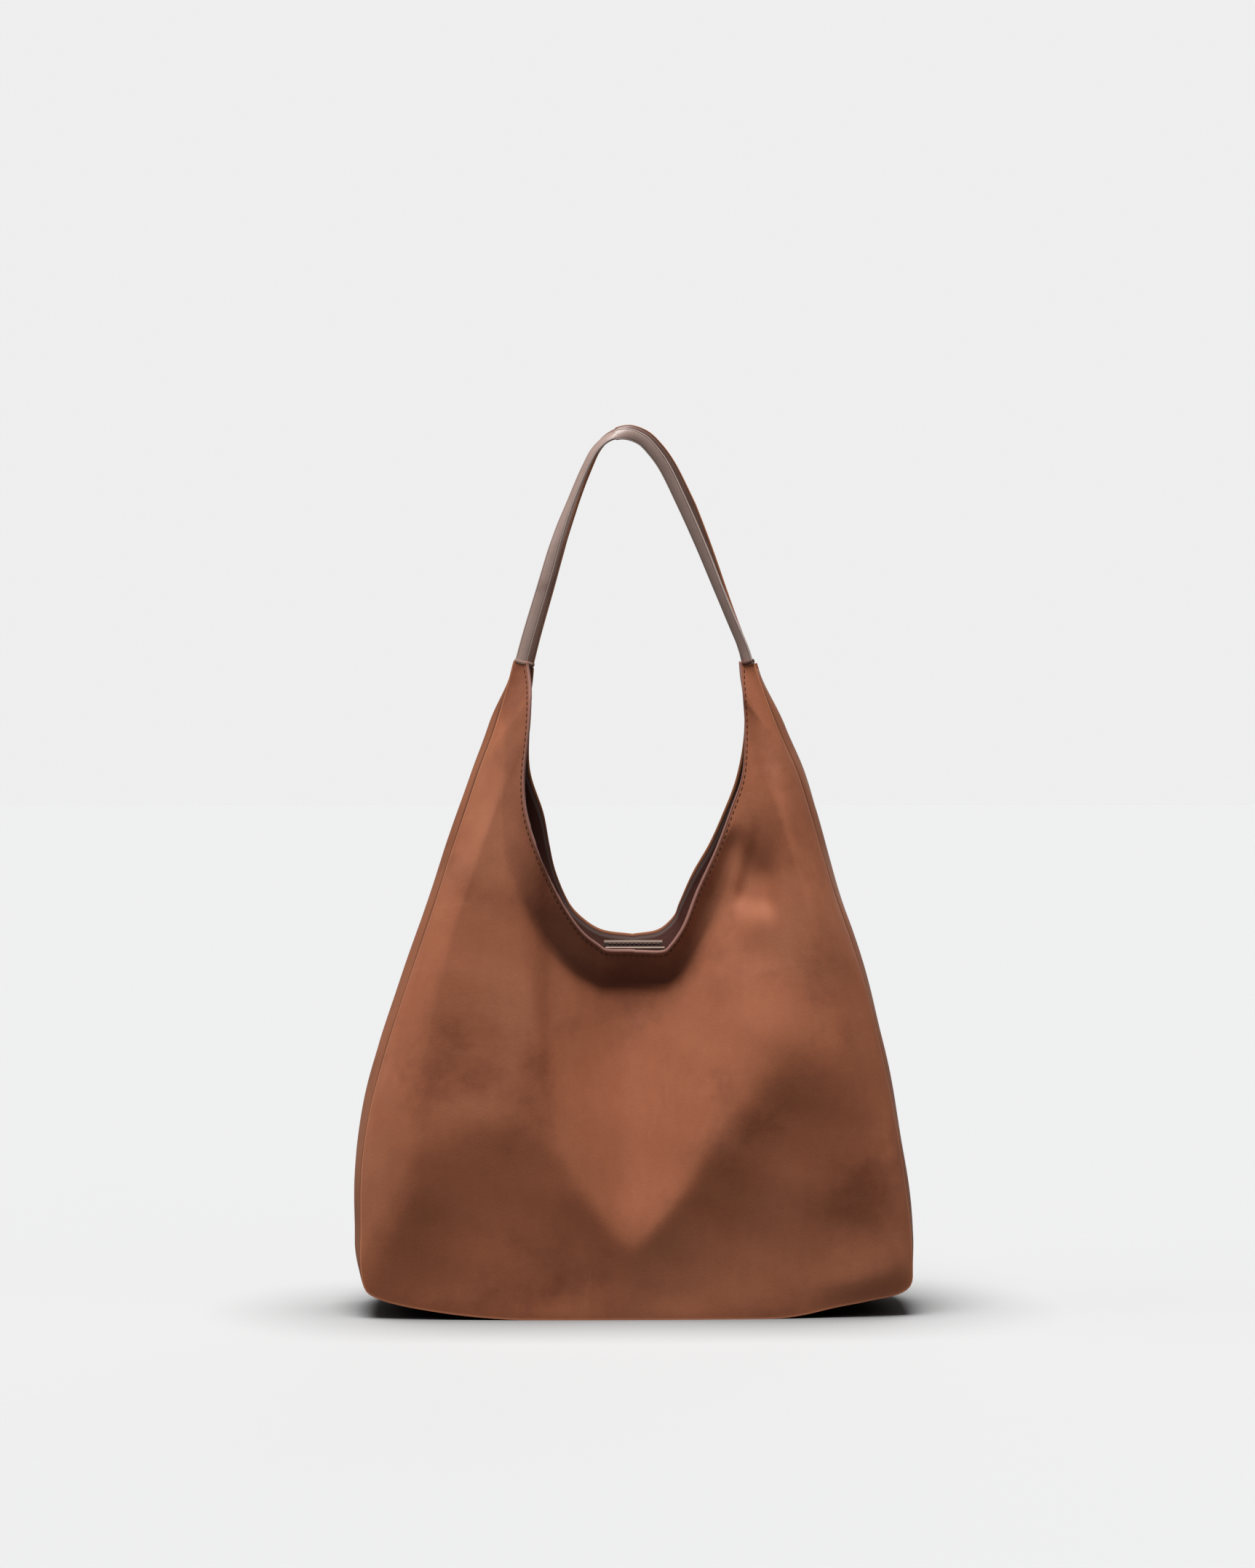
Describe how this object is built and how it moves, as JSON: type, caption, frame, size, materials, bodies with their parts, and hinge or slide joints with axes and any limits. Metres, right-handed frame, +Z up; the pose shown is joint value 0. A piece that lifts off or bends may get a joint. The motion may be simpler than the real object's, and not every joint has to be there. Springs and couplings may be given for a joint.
{
  "type": "hobo bag",
  "caption": "Soft leather hobo shoulder bag with pointed arms, a deep open mouth, side gussets, slim straps from tip to tip and a magnetic tab closure.",
  "frame": {"origin": "middle of the base's underside, on the surface that the bag stands on", "axes": "+Z up; +X to the right seen from the front; the front faces -Y"},
  "size_m": [0.3754, 0.1276, 0.5982],
  "materials": {
    "body_leather": "matt nubuck, mottled and slightly waxed",
    "strap_leather": "smooth with a low sheen",
    "lining_cloth": "plain weave",
    "stiff_board": "pressed fibre board",
    "core_tape": "woven tape",
    "snap_metal": "antique, satin"
  },
  "bodies": {
    "bag": {"front_panel": "body_leather", "back_panel": "body_leather", "left_gusset": "body_leather", "right_gusset": "body_leather", "base_panel": "body_leather", "base_board": "stiff_board", "front_lining": "lining_cloth", "back_lining": "lining_cloth", "gusset_lining": "lining_cloth", "front_facing": "body_leather", "back_facing": "body_leather", "front_left_keeper": "body_leather", "front_right_keeper": "body_leather", "back_left_keeper": "body_leather", "back_right_keeper": "body_leather"},
    "front_strap": {"front_strap": "strap_leather", "front_strap_core": "core_tape"},
    "back_strap": {"back_strap": "strap_leather", "back_strap_core": "core_tape"},
    "front_tab": {"front_tab": "body_leather", "front_snap_socket": "snap_metal"},
    "back_tab": {"back_tab": "body_leather", "back_snap_stud": "snap_metal"}
  },
  "joints": [
    {"name": "front_strap_fold", "type": "hinge", "parent": "bag", "child": "front_strap", "pos_m": [0, -0.0155, 0.442], "axis": [1, 0, 0], "range_deg": [0, 150]},
    {"name": "back_strap_fold", "type": "hinge", "parent": "bag", "child": "back_strap", "pos_m": [0, 0.0155, 0.442], "axis": [-1, 0, 0], "range_deg": [0, 150]},
    {"name": "front_tab_swing", "type": "hinge", "parent": "bag", "child": "front_tab", "pos_m": [0, -0.0183, 0.2449], "axis": [1, 0, 0], "range_deg": [0, 11]},
    {"name": "back_tab_swing", "type": "hinge", "parent": "bag", "child": "back_tab", "pos_m": [0, 0.0204, 0.254], "axis": [-1, 0, 0], "range_deg": [0, 5.5]}
  ]
}
